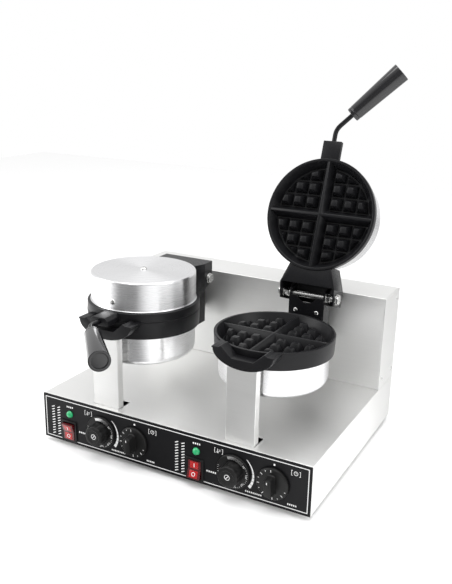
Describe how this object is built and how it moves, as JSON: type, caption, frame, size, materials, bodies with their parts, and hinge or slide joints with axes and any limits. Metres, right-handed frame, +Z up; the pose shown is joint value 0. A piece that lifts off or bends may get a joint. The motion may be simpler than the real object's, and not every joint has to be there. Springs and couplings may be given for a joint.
{
  "type": "double waffle maker",
  "caption": "Counter-top electric waffle maker with round hinged baking heads on legs over a stainless base, with rocker switches, thermostats and timers.",
  "frame": {"origin": "centre of the underside of the whole object at rest, on the surface that the feet stand on", "axes": "+Z up, +X to the right seen from the front, -Y towards the controls and the user"},
  "size_m": [0.5, 0.5438, 0.6433],
  "materials": {
    "stainless": "bright polished stainless sheet",
    "chrome": "mirror chrome on the lids and bowls",
    "cast_plate": "cast aluminium with black non-stick coating",
    "black_steel": "black satin coating",
    "black_phenolic": "glossy moulded phenolic",
    "panel_black": "black panel with white print",
    "black_plastic": "moulded, satin",
    "rubber": "matt",
    "red_plastic": "translucent red moulding",
    "green_lens": "translucent green lens",
    "zinc_steel": "zinc plated",
    "heater_tube": "oxidised heater sheath"
  },
  "bodies": {
    "base": {"base_cover": "stainless", "control_panel": "panel_black", "riser_cover": "stainless", "riser_end_left": "stainless", "riser_end_right": "stainless", "rear_panel": "stainless", "bottom_plate": "stainless", "foot_front_left": "rubber", "foot_front_right": "rubber", "foot_back_left": "rubber", "foot_back_right": "rubber", "cord_gland": "black_plastic", "terminal_block": "black_plastic", "left_support_leg": "stainless", "left_lower_shell": "chrome", "left_lower_plate": "cast_plate", "left_lower_heater": "heater_tube", "left_lower_bracket": "black_steel", "left_rear_arm": "black_steel", "left_hinge_pin": "zinc_steel", "left_lamp": "green_lens", "left_switch_body": "black_plastic", "left_thermostat_body": "zinc_steel", "left_timer_body": "zinc_steel", "right_support_leg": "stainless", "right_lower_shell": "chrome", "right_lower_plate": "cast_plate", "right_lower_heater": "heater_tube", "right_lower_bracket": "black_steel", "right_rear_arm": "black_steel", "right_hinge_pin": "zinc_steel", "right_lamp": "green_lens", "right_switch_body": "black_plastic", "right_thermostat_body": "zinc_steel", "right_timer_body": "zinc_steel"},
    "left_lid": {"left_upper_plate": "cast_plate", "left_upper_heater": "heater_tube", "left_upper_bracket": "black_steel", "left_lid_shell": "chrome", "left_lid_screw": "zinc_steel", "left_handle_rod": "black_steel", "left_handle_grip": "black_phenolic"},
    "left_thermostat_dial": {"left_thermostat_knob": "black_plastic", "left_thermostat_shaft": "zinc_steel"},
    "left_timer_dial": {"left_timer_knob": "black_plastic", "left_timer_shaft": "zinc_steel"},
    "left_rocker": {"left_switch_rocker": "red_plastic"},
    "right_lid": {"right_upper_plate": "cast_plate", "right_upper_heater": "heater_tube", "right_upper_bracket": "black_steel", "right_lid_shell": "chrome", "right_lid_screw": "zinc_steel", "right_handle_rod": "black_steel", "right_handle_grip": "black_phenolic"},
    "right_thermostat_dial": {"right_thermostat_knob": "black_plastic", "right_thermostat_shaft": "zinc_steel"},
    "right_timer_dial": {"right_timer_knob": "black_plastic", "right_timer_shaft": "zinc_steel"},
    "right_rocker": {"right_switch_rocker": "red_plastic"}
  },
  "joints": [
    {"name": "left_lid_hinge", "type": "hinge", "parent": "base", "child": "left_lid", "pos_m": [-0.125, 0.13039, 0.258], "axis": [-1, 0, 0], "range_deg": [0, 110]},
    {"name": "left_thermostat_turn", "type": "hinge", "parent": "base", "child": "left_thermostat_dial", "pos_m": [-0.1275, -0.13511, 0.047], "axis": [0, 1, 0], "range_deg": [0, 270]},
    {"name": "left_timer_turn", "type": "hinge", "parent": "base", "child": "left_timer_dial", "pos_m": [-0.061, -0.13511, 0.047], "axis": [0, 1, 0], "range_deg": [0, 300]},
    {"name": "left_switch_press", "type": "hinge", "parent": "base", "child": "left_rocker", "pos_m": [-0.1957, -0.13561, 0.0305], "axis": [1, 0, 0], "range_deg": [-20, 0]},
    {"name": "right_lid_hinge", "type": "hinge", "parent": "base", "child": "right_lid", "pos_m": [0.125, 0.13039, 0.258], "axis": [-1, 0, 0], "range_deg": [-110, 0]},
    {"name": "right_thermostat_turn", "type": "hinge", "parent": "base", "child": "right_thermostat_dial", "pos_m": [0.1225, -0.13511, 0.047], "axis": [0, 1, 0], "range_deg": [0, 270]},
    {"name": "right_timer_turn", "type": "hinge", "parent": "base", "child": "right_timer_dial", "pos_m": [0.189, -0.13511, 0.047], "axis": [0, 1, 0], "range_deg": [0, 300]},
    {"name": "right_switch_press", "type": "hinge", "parent": "base", "child": "right_rocker", "pos_m": [0.0543, -0.13561, 0.0305], "axis": [1, 0, 0], "range_deg": [0, 20]}
  ]
}
